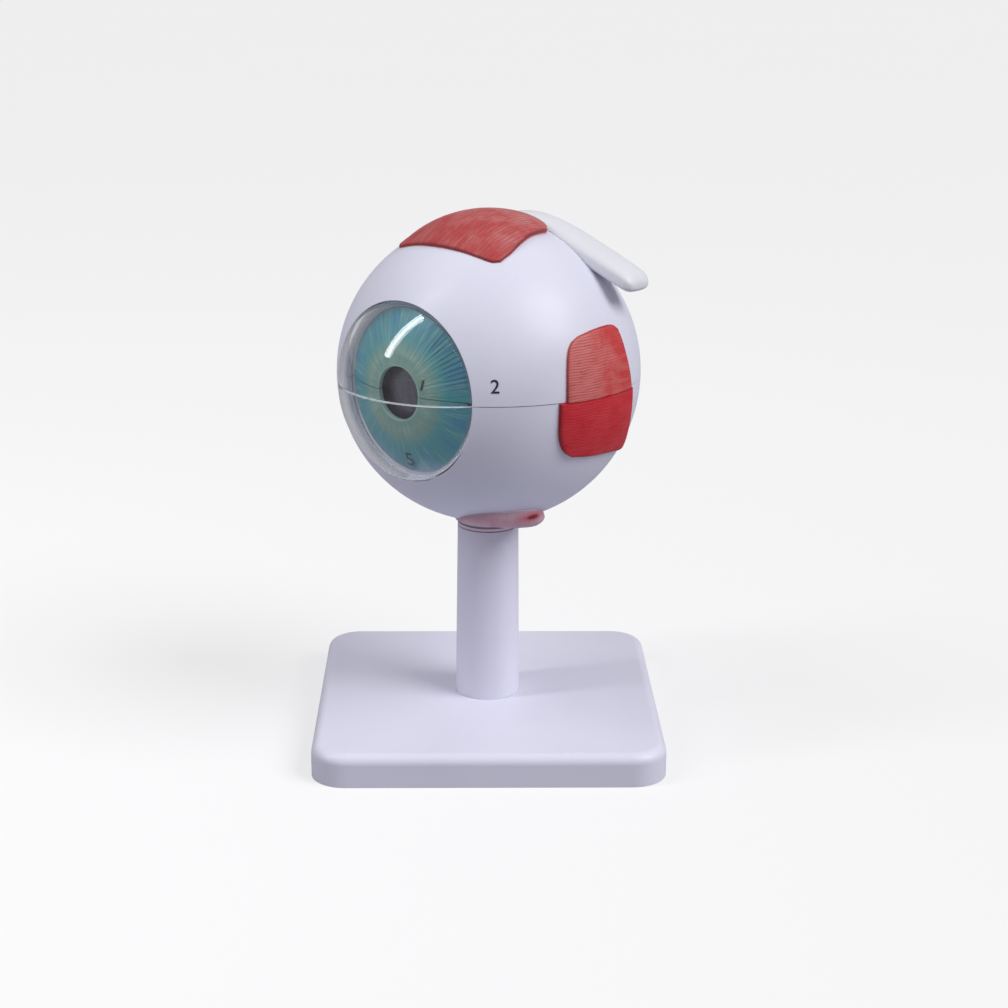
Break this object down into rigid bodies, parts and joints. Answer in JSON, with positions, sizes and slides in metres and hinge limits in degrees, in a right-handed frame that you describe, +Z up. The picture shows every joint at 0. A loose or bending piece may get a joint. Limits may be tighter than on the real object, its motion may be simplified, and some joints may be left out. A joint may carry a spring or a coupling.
{
  "type": "eye anatomy model",
  "caption": "Enlarged take-apart model of the human eye on a square stand: the eyeball turns on its post and opens along a level seam into nested shells, lens and clear vitreous body.",
  "frame": {"origin": "centre of the underside of the square base, on the table", "axes": "+Z up along the post; the base's sides lie along X and Y; the eyeball looks 42 degrees from -Y towards -X"},
  "size_m": [0.09, 0.09, 0.138],
  "materials": {
    "base_white": "satin",
    "post_white": "satin",
    "screw_steel": "zinc plated",
    "washer_steel": "zinc plated",
    "pin_nylon": "natural nylon",
    "sclera_upper": "satin gloss",
    "sclera_lower": "satin gloss",
    "collar_pink": "satin",
    "cornea_clear": "clear moulded plastic",
    "muscle_superior": "painted relief",
    "muscle_inferior": "painted relief",
    "muscle_side": "painted relief",
    "nerve_yellow": "painted",
    "pins_white": "plain",
    "choroid_red": "painted",
    "pins_red": "plain",
    "iris_teal": "painted",
    "vitreous_clear": "clear moulded plastic",
    "lens_clear": "clear moulded plastic",
    "tendon_white": "satin gloss"
  },
  "bodies": {
    "stand": {"base_plate": "base_white", "post": "post_white", "post_screw": "screw_steel", "post_washer": "washer_steel"},
    "swivel_pin": {"swivel_pin": "pin_nylon"},
    "lower_sclera": {"lower_sclera": "sclera_lower", "stem_collar": "collar_pink", "lower_cornea": "cornea_clear", "inferior_oblique": "muscle_inferior", "medial_rectus_lower": "muscle_side", "lateral_rectus_lower": "muscle_side", "optic_nerve_lower": "nerve_yellow", "sclera_pins": "pins_white"},
    "lower_choroid": {"lower_choroid": "choroid_red", "lower_iris": "iris_teal", "choroid_pins": "pins_red"},
    "vitreous_body": {"vitreous_body": "vitreous_clear"},
    "lens": {"lens": "lens_clear"},
    "upper_choroid": {"upper_choroid": "choroid_red", "upper_iris": "iris_teal"},
    "upper_sclera": {"upper_sclera": "sclera_upper", "upper_cornea": "cornea_clear", "superior_rectus": "muscle_superior", "superior_oblique_tendon": "tendon_white", "medial_rectus_upper": "muscle_side", "lateral_rectus_upper": "muscle_side", "optic_nerve_upper": "nerve_yellow"}
  },
  "joints": [
    {"name": "eye_swivel", "type": "hinge", "parent": "stand", "child": "swivel_pin", "pos_m": [0, 0, 0.055], "axis": [0, 0, 1], "continuous": true},
    {"name": "eyeball_lift", "type": "slide", "parent": "swivel_pin", "child": "lower_sclera", "axis": [0, 0, 1], "range_m": [0, 0.015]},
    {"name": "lower_choroid_lift", "type": "slide", "parent": "lower_sclera", "child": "lower_choroid", "axis": [0, 0, 1], "range_m": [0, 0.045]},
    {"name": "vitreous_lift", "type": "slide", "parent": "lower_choroid", "child": "vitreous_body", "axis": [0, 0, 1], "range_m": [0, 0.045]},
    {"name": "lens_lift", "type": "slide", "parent": "vitreous_body", "child": "lens", "axis": [0, 0, 1], "range_m": [0, 0.055]},
    {"name": "upper_choroid_lift", "type": "slide", "parent": "lens", "child": "upper_choroid", "axis": [0, 0, 1], "range_m": [0, 0.045]},
    {"name": "upper_sclera_lift", "type": "slide", "parent": "upper_choroid", "child": "upper_sclera", "axis": [0, 0, 1], "range_m": [0, 0.05]}
  ]
}
